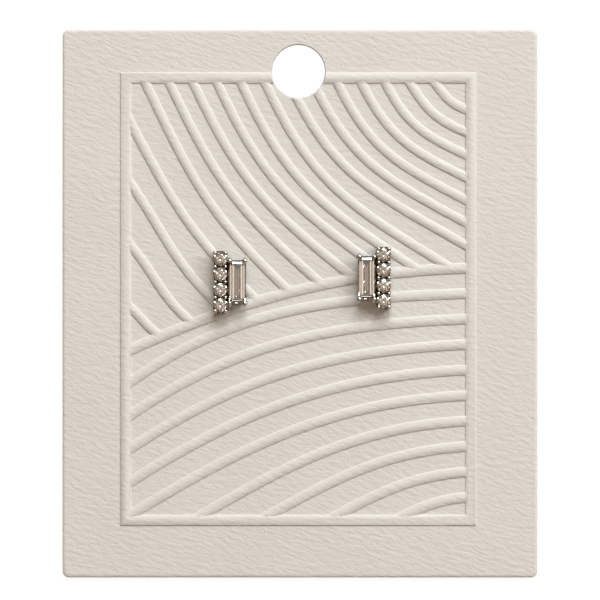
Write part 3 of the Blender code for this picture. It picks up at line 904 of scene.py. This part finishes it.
@dataclass
class DisplayCard:
    """The embossed board: a raised frame and two families of curved ribs that meet at one rib."""

    width: float = 0.0650
    height: float = 0.0750
    thickness: float = 0.0010
    corner_radius: float = 0.0009
    front_edge: tuple[float, float] = (0.00048, 0.00022)
    back_edge: tuple[float, float] = (0.00012, 0.00012)
    board_edge_steps: int = 7
    sharp_angle: float = 35.0
    hole_diameter: float = 0.0072
    hole_drop: float = 0.0057
    hole_shift: float = -0.0002
    hole_rim_radius: float = 0.00018
    post_hole_diameter: float = 0.0011
    frame_margins: tuple[float, float, float, float] = (0.0079, 0.0084, 0.0059, 0.0071)
    frame_rib: tuple[float, float] = (0.0015, 0.00032)
    upper_rib: tuple[float, float] = (0.00130, 0.00026)
    lower_rib: tuple[float, float] = (0.00145, 0.00026)
    meeting_rib: tuple[float, float] = (0.00150, 0.00029)
    rib_step: float = 0.0008
    fewest_rib_steps: int = 6
    meeting_ends: tuple[float, float] = (0.62, 0.43)
    meeting_angles: tuple[float, float] = (25, 1)
    meeting_bend: float = 0.35
    upper_bend: float = 0.44
    lower_bend: float = 0.38

    # first and last share of a side that ribs start from or end at, and how many there are
    UPPER_LEFT_STARTS = (0.51, 0.08, 4)
    UPPER_TOP_STARTS = (0.05, 0.885, 13)
    UPPER_MEETING_ENDS = (0.10, 0.945, 10)
    UPPER_RIGHT_ENDS = (0.385, 0.075, 7)
    LOWER_LEFT_STARTS = (0.695, 0.995, 5)
    LOWER_BOTTOM_STARTS = (0.195, 0.78, 4)
    LOWER_RIGHT_ENDS = (0.487, 0.948, 9)

    # share along a family, slope where a rib starts and slope where it ends
    UPPER_SLOPES = ((0.0, 40, 38), (0.2, 64, 46), (0.5, 66, 33), (0.9, 64, 24), (1.0, 52, 17))
    LOWER_SLOPES = ((0.0, 36, 2), (1.0, 27, 3))

    def frame_size(self) -> np.ndarray:
        """Width and height of the frame rib's middle line."""
        left, right, top, bottom = self.frame_margins
        rib = self.frame_rib[0]
        return np.array((self.width - left - right - rib, self.height - top - bottom - rib))

    def place(self, share_x: np.ndarray, share_y: np.ndarray) -> np.ndarray:
        """Points of the face at shares of the frame's middle line from its upper left corner.

        Args:
            share_x: The share of its width, to the right.
            share_y: The share of its height, downwards.

        Returns:
            X and Y of the points, one a row.
        """
        left, right, top, bottom = self.frame_margins
        centre = np.array(((left - right) / 2, (bottom - top) / 2))
        shares = np.stack(np.broadcast_arrays(share_x - 0.5, 0.5 - share_y), -1)
        return centre + shares * self.frame_size()

    def curve(
        self,
        start: np.ndarray,
        end: np.ndarray,
        angles: tuple[float, float],
        bend: float,
    ) -> np.ndarray:
        """A rib's middle line: the cubic curve that leaves and arrives at given slopes.

        Its two inner handles lie at bend x the chord from its ends, along the slopes.

        Args:
            start: Where it starts.
            end: Where it ends.
            angles: Its slope at both ends, in degrees below the horizontal.
            bend: The handles' length as a share of the chord.

        Returns:
            Its points, one a row.
        """
        chord = float(np.linalg.norm(end - start))
        leave, arrive = heading(np.array(angles))
        corners = np.array(
            (start, start + bend * chord * leave, end - bend * chord * arrive, end)
        )
        steps = max(self.fewest_rib_steps, round(chord / self.rib_step))
        t = np.linspace(0.0, 1.0, steps + 1)[:, None]
        weights = ((1 - t) ** 3, 3 * t * (1 - t) ** 2, 3 * t**2 * (1 - t), t**3)
        return np.hstack(weights) @ corners

    def meeting_path(self) -> np.ndarray:
        """The rib that rises from the left to the right and parts the two families."""
        left, right = self.meeting_ends
        angles = (-self.meeting_angles[0], -self.meeting_angles[1])
        return self.curve(self.place(0.0, left), self.place(1.0, right), angles, self.meeting_bend)

    def on_meeting_path(self, share_x: np.ndarray) -> np.ndarray:
        """The points of the meeting rib's middle line at shares of the frame's width."""
        path = self.meeting_path()
        x = self.place(share_x, 0.0)[:, 0]
        return np.stack((x, np.interp(x, path[:, 0], path[:, 1])), -1)

    def family(
        self,
        starts: np.ndarray,
        ends: np.ndarray,
        slopes: tuple[tuple[float, float, float], ...],
        sign: int,
        bend: float,
    ) -> list[np.ndarray]:
        """One path for each start and end, with slopes read along the family.

        Args:
            starts: Where the ribs start, in order along the family.
            ends: Where they end, in the same order.
            slopes: Rows of share along the family, leaving slope and arriving slope.
            sign: 1 where the ribs fall to the right and -1 where they rise.
            bend: The handles' length as a share of the chord.

        Returns:
            The paths.
        """
        table = np.array(slopes)
        share = np.linspace(0.0, 1.0, len(starts))
        leave = sign * np.interp(share, table[:, 0], table[:, 1])
        arrive = sign * np.interp(share, table[:, 0], table[:, 2])
        return [
            self.curve(start, end, (out, into), bend)
            for start, end, out, into in zip(starts, ends, leave, arrive)
        ]

    def upper_paths(self) -> list[np.ndarray]:
        """The ribs that fall from the left and the top to the meeting rib and the right.

        Returns:
            Their paths.
        """
        left = self.place(0.0, np.linspace(*self.UPPER_LEFT_STARTS))
        top = self.place(np.linspace(*self.UPPER_TOP_STARTS), 0.0)
        inner = self.on_meeting_path(np.linspace(*self.UPPER_MEETING_ENDS))
        right = self.place(1.0, np.linspace(*self.UPPER_RIGHT_ENDS))
        starts = np.concatenate((left, top))
        ends = np.concatenate((inner, right))
        return self.family(starts, ends, self.UPPER_SLOPES, 1, self.upper_bend)

    def lower_paths(self) -> list[np.ndarray]:
        """The ribs that rise from the left and the bottom to the right.

        Returns:
            Their paths.
        """
        left = self.place(0.0, np.linspace(*self.LOWER_LEFT_STARTS))
        bottom = self.place(np.linspace(*self.LOWER_BOTTOM_STARTS), 1.0)
        ends = self.place(1.0, np.linspace(*self.LOWER_RIGHT_ENDS))
        starts = np.concatenate((left, bottom))
        return self.family(starts, ends, self.LOWER_SLOPES, -1, self.lower_bend)

    def board(self) -> bpy.types.Object:
        """The bare board: a rounded rectangle whose front and back edges are eased.

        Each ring is the rectangle drawn in by an inset, with quarter circles at its corners,
        at heights that follow a quarter ellipse at the back edge and one at the front edge.

        Returns:
            The board.
        """
        steps = self.board_edge_steps
        back = edge_out(self.corner_radius, -self.thickness, *self.back_edge, steps)
        front = edge_in(self.corner_radius, 0.0, *self.front_edge, steps)
        outline = np.concatenate((back, front))
        turns = quarter_turn(steps)
        angles = np.concatenate([turns + quadrant * math.pi / 2 for quadrant in range(4)])
        signs = np.repeat(np.array(((1, 1), (-1, 1), (-1, -1), (1, -1))), len(turns), axis=0)
        reach = np.array((self.width, self.height)) / 2 - self.corner_radius
        circle = np.stack((np.cos(angles), np.sin(angles)), -1)
        rings = np.empty((len(outline), len(angles), 3))
        rings[..., :2] = signs * reach + outline[:, :1, None] * circle
        rings[..., 2] = outline[:, 1:]
        shells = Shells()
        shells.skin(rings)
        return shells.piece("display_card")

    def relief(self) -> list[bpy.types.Object]:
        """The raised frame and every curved rib, each a closed piece to be joined to the board.

        Returns:
            The pieces.
        """
        corners = self.place(np.array((0.0, 0.0, 1.0, 1.0)), np.array((0.0, 1.0, 1.0, 0.0)))
        shells = Shells()
        Rib(*self.frame_rib).along(shells, corners, around=True)
        pieces = [shells.piece("frame_rib")]
        families = (
            (self.upper_rib, self.upper_paths()),
            (self.lower_rib, self.lower_paths()),
            (self.meeting_rib, [self.meeting_path()]),
        )
        for sizes, paths in families:
            for path in paths:
                shells = Shells()
                Rib(*sizes).along(shells, path)
                pieces.append(shells.piece("curved_rib"))
        return pieces

    def cutters(self, posts: list[tuple[float, float]]) -> list[bpy.types.Object]:
        """What is punched out: the hang hole with its eased rim, and a small hole for each post.

        Args:
            posts: X and Y of each post.

        Returns:
            The cutters, which run through the board.
        """
        rim = self.hole_rim_radius
        radius = self.hole_diameter / 2
        low = -2 * self.thickness
        flare = edge_in(radius, 0.0, -rim, rim)
        outline = np.concatenate((((radius, low),), flare, ((radius + rim, self.thickness),)))
        hang = Shells()
        centre = (self.hole_shift, self.height / 2 - self.hole_drop)
        turned(hang, outline, centre, HANG_HOLE_SIDES)
        made = [hang.piece("hang_hole_cutter")]
        radius = self.post_hole_diameter / 2
        for post in posts:
            pin = Shells()
            outline = np.array(((radius, low), (radius, self.thickness)))
            turned(pin, outline, post, POST_HOLE_SIDES)
            made.append(pin.piece("post_hole_cutter"))
        return made

    def build(
        self, posts: list[tuple[float, float]], material: bpy.types.Material
    ) -> bpy.types.Object:
        """Joins the relief to the board, punches the holes and gives the card its finish.

        Args:
            posts: X and Y of each post.
            material: The board's finish.

        Returns:
            The finished card.
        """
        card = self.board()
        combine(card, self.relief(), "UNION")
        combine(card, self.cutters(posts), "DIFFERENCE")
        smooth(card, self.sharp_angle)
        card.data.materials.clear()
        card.data.materials.append(material)
        flats = card.modifiers.new("flat faces stay flat", "WEIGHTED_NORMAL")
        flats.keep_sharp = True
        flats.weight = 100
        declare(card, Slot.CARD, "card")
        return card


def combine(obj: bpy.types.Object, others: list[bpy.types.Object], operation: str) -> None:
    """Joins pieces to an object, or cuts them out of it, and removes them.

    Args:
        obj: The object whose mesh changes.
        others: The pieces.
        operation: UNION or DIFFERENCE.
    """
    group = bpy.data.collections.new("combined")
    bpy.context.scene.collection.children.link(group)
    for other in others:
        bpy.context.scene.collection.objects.unlink(other)
        group.objects.link(other)
    boolean = obj.modifiers.new("combined", "BOOLEAN")
    boolean.operation = operation
    boolean.solver = "MANIFOLD"
    boolean.operand_type = "COLLECTION"
    boolean.collection = group
    bpy.context.view_layer.update()
    graph = bpy.context.evaluated_depsgraph_get()
    made = bpy.data.meshes.new_from_object(obj.evaluated_get(graph))
    obj.modifiers.remove(boolean)
    old = obj.data
    obj.data = made
    bpy.data.meshes.remove(old)
    for other in others:
        bpy.data.objects.remove(other)
    bpy.data.collections.remove(group)


@dataclass
class Stud:
    """One stud: a bar of round stones beside a long step cut stone, on one soldered setting."""

    side: Side
    pair_spacing: float = 0.01997
    pair_centre: tuple[float, float] = (0.00027, 0.00320)
    stagger: float = 0.00056
    round_diameter: float = 0.00200
    round_pitch: float = 0.00211
    round_count: int = 4
    round_girdle: float = 0.00175
    long_width: float = 0.00235
    long_length: float = 0.00597
    long_girdle: float = 0.00180
    girdle_thickness: float = 0.00006
    stone_gap: float = 0.00004
    long_offset: float = 0.00232
    rib_top: float = 0.00032
    basket_clearance: float = 0.00010
    prong_diameter: float = 0.00038
    base_diameter: float = 0.00035
    seat_diameter: float = 0.00028
    cross_share: float = 0.90
    seat_height: float = 0.00122
    bar_spacing: float = 0.00141
    bar_bead: float = 0.00052
    end_bead: float = 0.00060
    bead_overlap: float = 0.00016
    bead_rise: float = 0.00024
    end_bead_rise: float = 0.00034
    long_spacing: float = 0.00204
    inner_ball: float = 0.00062
    outer_ball: float = 0.00078
    ball_inset: float = 0.00009
    ball_rise: float = 0.00056
    base_width: float = 0.00150
    wire_tuck: float = 0.00022
    prong_tuck: float = 0.00010
    shoulder_height: float = 0.00162
    rail_diameter: float = 0.00050
    rail_drop: float = 0.00005
    bridge_diameter: float = 0.00030
    wire_overlap: float = 0.00005
    foot_stub: float = 0.00003
    pad_diameter: float = 0.00176
    pad_thickness: float = 0.00036
    pad_drop: float = 0.00005
    corner_ease: float = 0.00018
    sharp_angle: float = 40.0
    # painted shade of the wires under the stones, standing in for the shade there
    deep: float = 1.0

    def post(self) -> tuple[float, float]:
        """X and Y of the post on the card."""
        return (self.pair_centre[0] + self.side.value * self.pair_spacing / 2, self.pair_centre[1])

    def place(self, along: float, up: float, out: float) -> np.ndarray:
        """A point of the stud on the card, counted from the bar's middle towards the long stone."""
        x, y = self.post()
        lift = self.side.value * self.stagger / 2
        return np.array((x - self.side.value * (along - self.long_offset / 2), y + lift + up, out))

    def base(self) -> float:
        """Height of the lowest wires' middle."""
        return self.rib_top + self.basket_clearance + self.prong_diameter / 2

    def foot(self) -> float:
        """Height of the prongs' lower ends, just below the lowest wires."""
        return self.base() - self.prong_diameter / 2 - self.foot_stub

    def rows(self) -> np.ndarray:
        """The pairs of bar prongs, from the bottom up.

        Between two stones a pair stands level with their middle. At the ends the shafts
        stand just clear of the stone's rim, at a radius of r + gap + half a wire, and
        the beads lean back over it.

        Returns:
            Rows of shaft Y, bead Y, shaft X, bead X, bead diameter and bead rise.
        """
        stones = (np.arange(self.round_count) - (self.round_count - 1) / 2) * self.round_pitch
        half = self.bar_spacing / 2
        between = (stones[:-1] + stones[1:]) / 2
        inner = np.stack(
            np.broadcast_arrays(between, between, half, half, self.bar_bead, self.bead_rise), -1
        )
        reach = self.round_diameter / 2 + self.stone_gap + self.prong_diameter / 2
        over = reach - self.bead_overlap
        across = math.asin(half / over)
        ends = [
            (
                stone + sign * reach * math.cos(across),
                stone + sign * over * math.cos(across),
                reach * math.sin(across),
                half,
                self.end_bead,
                self.end_bead_rise,
            )
            for sign, stone in ((-1, stones[0]), (1, stones[-1]))
        ]
        return np.concatenate((ends[:1], inner, ends[1:]))

    def run(
        self,
        shells: Shells,
        diameter: float,
        *points: tuple[float, float, float],
        depth: float = 0.0,
    ) -> None:
        """A wire through points of the stud's own frame, with eased corners.

        Args:
            shells: Takes the wire.
            diameter: Its thickness.
            *points: Along, up and out of each corner.
            depth: How much painted shade its metal gets, from 0 to 1.
        """
        path = np.array([self.place(*point) for point in points])
        if len(path) > 2:
            path = rounded_corners(path, self.corner_ease)
        wire(shells, path, diameter / 2)
        shells.paint_shade(depth)

    def bar_basket(self, shells: Shells) -> None:
        """The bar's prongs with their beads, its cross wires and its two pairs of long wires.

        Args:
            shells: Takes the metal.
        """
        rows = self.rows()
        foot = self.foot()
        levels = ((self.base(), self.base_diameter), (self.seat_height, self.seat_diameter))
        girdle = self.round_girdle + self.girdle_thickness / 2
        for shaft_y, bead_y, shaft_x, bead_x, bead, rise in rows:
            top = girdle + rise
            for sign in (-1, 1):
                self.run(
                    shells,
                    self.prong_diameter,
                    (sign * shaft_x, shaft_y, foot),
                    (sign * shaft_x, shaft_y, top - rise / 2),
                    (sign * bead_x, bead_y, top),
                )
                ball(shells, self.place(sign * bead_x, bead_y, top), bead / 2)
            for height, diameter in levels:
                self.run(
                    shells,
                    diameter * self.cross_share,
                    (-shaft_x, shaft_y, height),
                    (shaft_x, shaft_y, height),
                    depth=self.deep,
                )
        for sign in (-1, 1):
            for height, diameter in levels:
                line = [(sign * row[2], row[0], height) for row in rows]
                self.run(shells, diameter, *line, depth=self.deep)

    def long_basket(self, shells: Shells) -> None:
        """The long stone's four prongs with their balls, and the two frames of wire under it.

        Args:
            shells: Takes the metal.
        """
        base = self.base()
        seat = self.seat_height
        shaft_y = self.long_length / 2 + self.stone_gap + self.prong_diameter / 2
        seat_y = self.long_length / 2 - self.prong_tuck
        under_y = self.long_length / 2 - self.wire_tuck
        side_y = under_y + self.wire_overlap
        ball_y = self.long_length / 2 - self.ball_inset
        top = self.long_girdle + self.girdle_thickness / 2 + self.ball_rise
        middle = self.long_offset
        foot = self.base_width / 2
        half = self.long_spacing / 2
        levels = ((base, foot, self.base_diameter), (seat, half, self.seat_diameter))
        for end in (-1, 1):
            for sign, size in ((-1, self.inner_ball), (1, self.outer_ball)):
                across = middle + sign * half
                self.run(
                    shells,
                    self.prong_diameter,
                    (middle + sign * foot, end * under_y, self.foot()),
                    (middle + sign * foot, end * under_y, base),
                    (across, end * seat_y, seat),
                    (across, end * shaft_y, self.shoulder_height),
                    (across, end * shaft_y, top - size / 2),
                    (across, end * ball_y, top),
                )
                ball(shells, self.place(across, end * ball_y, top), size / 2)
            for height, reach, diameter in levels:
                self.run(
                    shells,
                    diameter * self.cross_share,
                    (middle - reach - self.wire_overlap, end * under_y, height),
                    (middle + reach + self.wire_overlap, end * under_y, height),
                    depth=self.deep,
                )
        for sign in (-1, 1):
            for height, reach, diameter in levels:
                across = middle + sign * reach
                line = ((across, -side_y, height), (across, side_y, height))
                self.run(shells, diameter, *line, depth=self.deep)

    def bridge(self, shells: Shells) -> None:
        """The wires that join the baskets, and a rail in the narrow gap between their stones.

        Args:
            shells: Takes the metal.
        """
        base = self.base()
        for row in self.rows()[1:-1]:
            self.run(
                shells,
                self.bridge_diameter,
                (self.bar_spacing / 2 - self.wire_overlap, row[0], base),
                (self.long_offset - self.base_width / 2 + self.wire_overlap, row[0], base),
                depth=self.deep,
            )
        # a rail in the gap, darkened with painted shade so the gap between the stones reads as
        # shade
        gap = (self.round_diameter / 2 + self.long_offset - self.long_width / 2) / 2
        reach = self.long_length / 2 - self.wire_tuck
        rail = self.seat_height - self.rail_drop
        line = ((gap, -reach, rail), (gap, reach, rail))
        self.run(shells, self.rail_diameter, *line, depth=self.deep)

    def pad_and_post(self, shells: Shells) -> None:
        """The round pad and the ear post under it.

        The pad's outline is a quarter circle at its upper and lower edge. The post's is
        straight down to a tip that is eased by a quarter circle as wide as the chamfer.

        Args:
            shells: Takes the metal.
        """
        low = self.rib_top + self.basket_clearance - self.pad_drop
        radius = self.pad_diameter / 2
        ease = self.pad_thickness / 4
        lower = edge_out(radius, low, ease, ease, DOME_STEPS)
        upper = edge_in(radius, low + self.pad_thickness, ease, ease, DOME_STEPS)
        turned(shells, np.concatenate((lower, upper)), self.post(), PAD_SIDES)
        tip = -POSE.card_thickness - POSE.post_length
        radius = POSE.post_radius
        nose = edge_out(radius, tip, POSE.tip_chamfer, POSE.tip_chamfer, DOME_STEPS)
        shank = ((radius, -POSE.card_thickness), (radius, low + self.pad_thickness / 2))
        turned(shells, np.concatenate((nose, shank)), self.post(), POST_SIDES)

    def build(self, silver: bpy.types.Material, stone: bpy.types.Material) -> bpy.types.Object:
        """Builds the setting and gives the stones, which stay as the CAD cuts them, their finish.

        Args:
            silver: The setting's finish.
            stone: The stones' finish.

        Returns:
            The finished setting.
        """
        shells = Shells()
        self.bar_basket(shells)
        self.long_basket(shells)
        self.bridge(shells)
        self.pad_and_post(shells)
        setting = shells.piece(f"{self.side.word}_soldered_setting")
        smooth(setting, self.sharp_angle)
        setting.data.materials.append(silver)
        declare(setting, Slot.POLISHED, f"{self.side.word}_setting")
        names = [f"{self.side.word}_round_stone_{n + 1}" for n in range(self.round_count)]
        for name in [*names, f"{self.side.word}_baguette_stone"]:
            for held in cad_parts[name].material_slots:
                held.material = stone
            LOG.info("%s is polished", name)
        return setting


@dataclass
class EarNut:
    """The plain friction nut behind the card: a flange with eased edges, and a barrel."""

    stud: Stud
    diameter: float = 0.0046
    flange: float = 0.0006
    barrel: float = 0.0026
    length: float = 0.0030
    edge: float = 0.0003
    bore_clearance: float = 0.00004
    card_gap: float = 0.00010
    sharp_angle: float = 40.0

    def outline(self) -> np.ndarray:
        """The outline, down the outer side and up the bore, with quarter circles at its edges.

        Returns:
            Radius and height of its points, one a row.
        """
        bore = POSE.post_radius + self.bore_clearance
        top = -POSE.card_thickness - self.card_gap
        outer = self.diameter / 2
        ease = self.flange / 4
        barrel = self.barrel / 2
        upper = edge_out(outer, top, ease, -ease)
        lower = edge_in(outer, top - self.flange, ease, -ease)
        waist = ((barrel, top - self.flange),)
        end = edge_in(barrel, top - self.length, self.edge, -self.edge)
        inside = ((bore, top - self.length),)
        return np.concatenate((((bore, top),), upper, lower, waist, end, inside))

    def build(self, material: bpy.types.Material) -> bpy.types.Object:
        """Turns the nut and gives it its finish.

        Args:
            material: The nut's finish.

        Returns:
            The finished nut.
        """
        shells = Shells()
        turned(shells, self.outline(), self.stud.post(), NUT_SIDES, closed=True)
        word = self.stud.side.word
        nut = shells.piece(f"{word}_friction_nut")
        smooth(nut, self.sharp_angle)
        nut.data.materials.append(material)
        declare(nut, Slot.PLAIN, f"{word}_ear_nut")
        return nut


@dataclass(frozen=True)
class SoftLight:
    """A round soft light. It turns from the right towards the top and rises above the face."""

    name: str
    turn: float
    rise: float
    width: float
    watts: float
    colour: tuple[float, float, float] = (0.945, 0.985, 1.0)


@dataclass(frozen=True)
class RoomZone:
    """A round part of the room with its own glow, full within one angle and gone at another."""

    turn: float
    rise: float
    full: float
    gone: float
    colour: tuple[float, float, float]


@dataclass
class Studio:
    """A white light table, soft lights from the upper right, two small ones and a dim warm room."""

    floor_reach: float = 3.0
    floor_drop: float = 0.00002
    floor_glow: float = 0.90
    floor_glow_below: float = 0.35
    floor_colour: tuple[float, float, float] = (0.20, 0.20, 0.20)
    floor_mottle: tuple[float, float, float] = (0.208, 0.208, 0.208)
    floor_roughness: float = 0.9
    floor_gloss: float = 0.1
    distance: float = 1.20
    lights: tuple[SoftLight, ...] = (
        SoftLight("side_light", 32.0, 36.0, 0.60, 5.9),
        SoftLight("top_light", 82.0, 37.0, 0.75, 10.2),
        SoftLight("overhead_light", 0.0, 90.0, 0.14, 0.034, (1.0, 0.93, 0.84)),
        SoftLight("low_fill", 270.0, 60.0, 0.30, 0.35, (1.0, 0.90, 0.80)),
    )
    room_dark: tuple[float, float, float] = (0.040, 0.027, 0.018)
    fill: tuple[float, float, float] = (0.062, 0.036, 0.019)
    zones: tuple[RoomZone, ...] = (
        RoomZone(58.0, 20.0, 45.0, 81.0, (0.34, 0.29, 0.24)),
        RoomZone(0.0, 90.0, 24.0, 42.0, (0.36, 0.295, 0.23)),
    )
    backdrop: tuple[float, float, float] = (0.90, 0.895, 0.885)

    def floor(self) -> bpy.types.Object:
        """The light table's flat top, level with the lowest point of the object.

        The camera sees it white, and the object above it gets its dimmer light.

        Returns:
            The floor.
        """
        mesh = bpy.data.meshes.new("light_table")
        corners = np.array(((-1, -1, 0), (1, -1, 0), (1, 1, 0), (-1, 1, 0))) * self.floor_reach
        mesh.from_pydata(corners - np.array((0.0, 0.0, self.floor_drop)), [], [(0, 1, 2, 3)])
        floor = bpy.data.objects.new("light_table", mesh)
        bpy.context.scene.collection.objects.link(floor)
        material, nodes, shader = new_material("light_table")
        place = nodes.add("ShaderNodeTexCoord").outputs["Object"]
        noise = nodes.add("ShaderNodeTexNoise", {"Vector": place, "Scale": 9.0, "Detail": 2.0})
        seen = nodes.add("ShaderNodeLightPath").outputs["Is Camera Ray"]
        below = (self.floor_glow_below,) * 3
        inputs = {
            "Base Color": nodes.blend(noise.outputs[0], self.floor_colour, self.floor_mottle),
            "Roughness": self.floor_roughness,
            "Specular IOR Level": self.floor_gloss,
            "Emission Color": nodes.blend(seen, below, (self.floor_glow,) * 3),
            "Emission Strength": 1.0,
        }
        nodes.feed(shader, inputs)
        mesh.materials.append(material)
        return floor

    @staticmethod
    def way(turn_degrees: float, rise_degrees: float) -> np.ndarray:
        """A direction in the card's frame: (cos r cos t, cos r sin t, sin r).

        Args:
            turn_degrees: The turn t from the right towards the card's top.
            rise_degrees: The rise r above the card's face.

        Returns:
            The unit direction.
        """
        turn = math.radians(turn_degrees)
        rise = math.radians(rise_degrees)
        level = math.cos(rise)
        return np.array((level * math.cos(turn), level * math.sin(turn), math.sin(rise)))

    def hang(self, soft: SoftLight) -> bpy.types.Object:
        """Hangs a soft light and aims it at the middle of the card's face.

        Args:
            soft: The light's place, size and strength.

        Returns:
            The light.
        """
        data = bpy.data.lights.new(soft.name, "AREA")
        data.shape = "DISK"
        data.size = soft.width
        data.energy = soft.watts
        data.color = soft.colour
        light = bpy.data.objects.new(soft.name, data)
        bpy.context.scene.collection.objects.link(light)
        spot = POSE.laid(self.way(soft.turn, soft.rise) * self.distance)
        light.location = spot
        aim = Vector(POSE.laid(np.zeros(3)) - spot)
        light.rotation_euler = aim.to_track_quat("-Z", "Y").to_euler()
        return light

    def room(self) -> None:
        """The room's glow: brown, with each zone mixed in over it in turn.

        A zone's share runs smoothly from 1 at the cosine of its full angle to 0 at the
        cosine of the angle where it is gone. Matte surfaces also get an even warm fill, as
        from walls that a mirror wouldn't show. The camera sees a pale backdrop instead.
        """
        world = bpy.data.worlds.new("dim_warm_room")
        world.use_nodes = True
        nodes = Nodes(world.node_tree)
        background = world.node_tree.nodes["Background"]
        way = nodes.add("ShaderNodeTexCoord").outputs["Generated"]
        glow: object = self.room_dark
        for zone in self.zones:
            middle = POSE.laid(self.way(zone.turn, zone.rise)) - POSE.laid(np.zeros(3))
            towards = nodes.add(
                "ShaderNodeVectorMath", {0: way, 1: tuple(middle)}, operation="DOT_PRODUCT"
            )
            share = nodes.add(
                "ShaderNodeMapRange",
                {
                    "Value": towards.outputs["Value"],
                    "From Min": math.cos(math.radians(zone.gone)),
                    "From Max": math.cos(math.radians(zone.full)),
                },
                interpolation_type="SMOOTHSTEP",
            )
            glow = nodes.blend(share.outputs[0], glow, zone.colour)
        path = nodes.add("ShaderNodeLightPath")
        glow = nodes.blend(path.outputs["Is Diffuse Ray"], glow, self.fill, "ADD")
        shown = nodes.blend(path.outputs["Is Camera Ray"], glow, self.backdrop)
        nodes.feed(background, {"Color": shown})
        bpy.context.scene.world = world

    def build(self) -> None:
        """Sets the floor, the light and the room's glow."""
        self.floor()
        for soft in self.lights:
            self.hang(soft)
        self.room()
        bpy.context.scene.view_settings.view_transform = "Standard"
        LOG.info("the studio is lit")


@dataclass
class Camera:
    """Looks straight at the card's face, with the card's upper edge at the top of the picture."""

    distance: float = 0.600
    frame_width: float = 0.0821
    aim_height: float = 0.00048
    sensor: float = 36.0
    nearest: float = 0.01
    farthest: float = 20.0

    def build(self) -> bpy.types.Object:
        """Adds the camera and makes it the scene's.

        Returns:
            The camera.
        """
        data = bpy.data.cameras.new("camera")
        data.sensor_width = self.sensor
        data.lens = self.sensor * self.distance / self.frame_width
        data.clip_start = self.nearest
        data.clip_end = self.farthest
        camera = bpy.data.objects.new("camera", data)
        bpy.context.scene.collection.objects.link(camera)
        camera.location = POSE.laid(np.array((0.0, self.aim_height, self.distance)))
        camera.rotation_euler = (POSE.tilt, 0.0, 0.0)
        bpy.context.scene.camera = camera
        LOG.info("the camera looks at the card's face")
        return camera


def main() -> None:
    """Builds the pair, the card, the studio and the camera."""
    logging.basicConfig(level=logging.INFO, format="%(message)s")
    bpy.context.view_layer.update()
    effects = SharedEffects()
    board = FeltBoard().material(effects)
    polished = POLISHED_SILVER.material(effects)
    plain = PLAIN_SILVER.material(effects)
    stone = ClearStone().material(effects)
    studs = [Stud(side) for side in Side]
    DisplayCard().build([stud.post() for stud in studs], board)
    for stud in studs:
        stud.build(polished, stone)
        EarNut(stud).build(plain)
    Studio().build()
    Camera().build()
    bpy.context.view_layer.update()


if __name__ == "__main__":
    main()
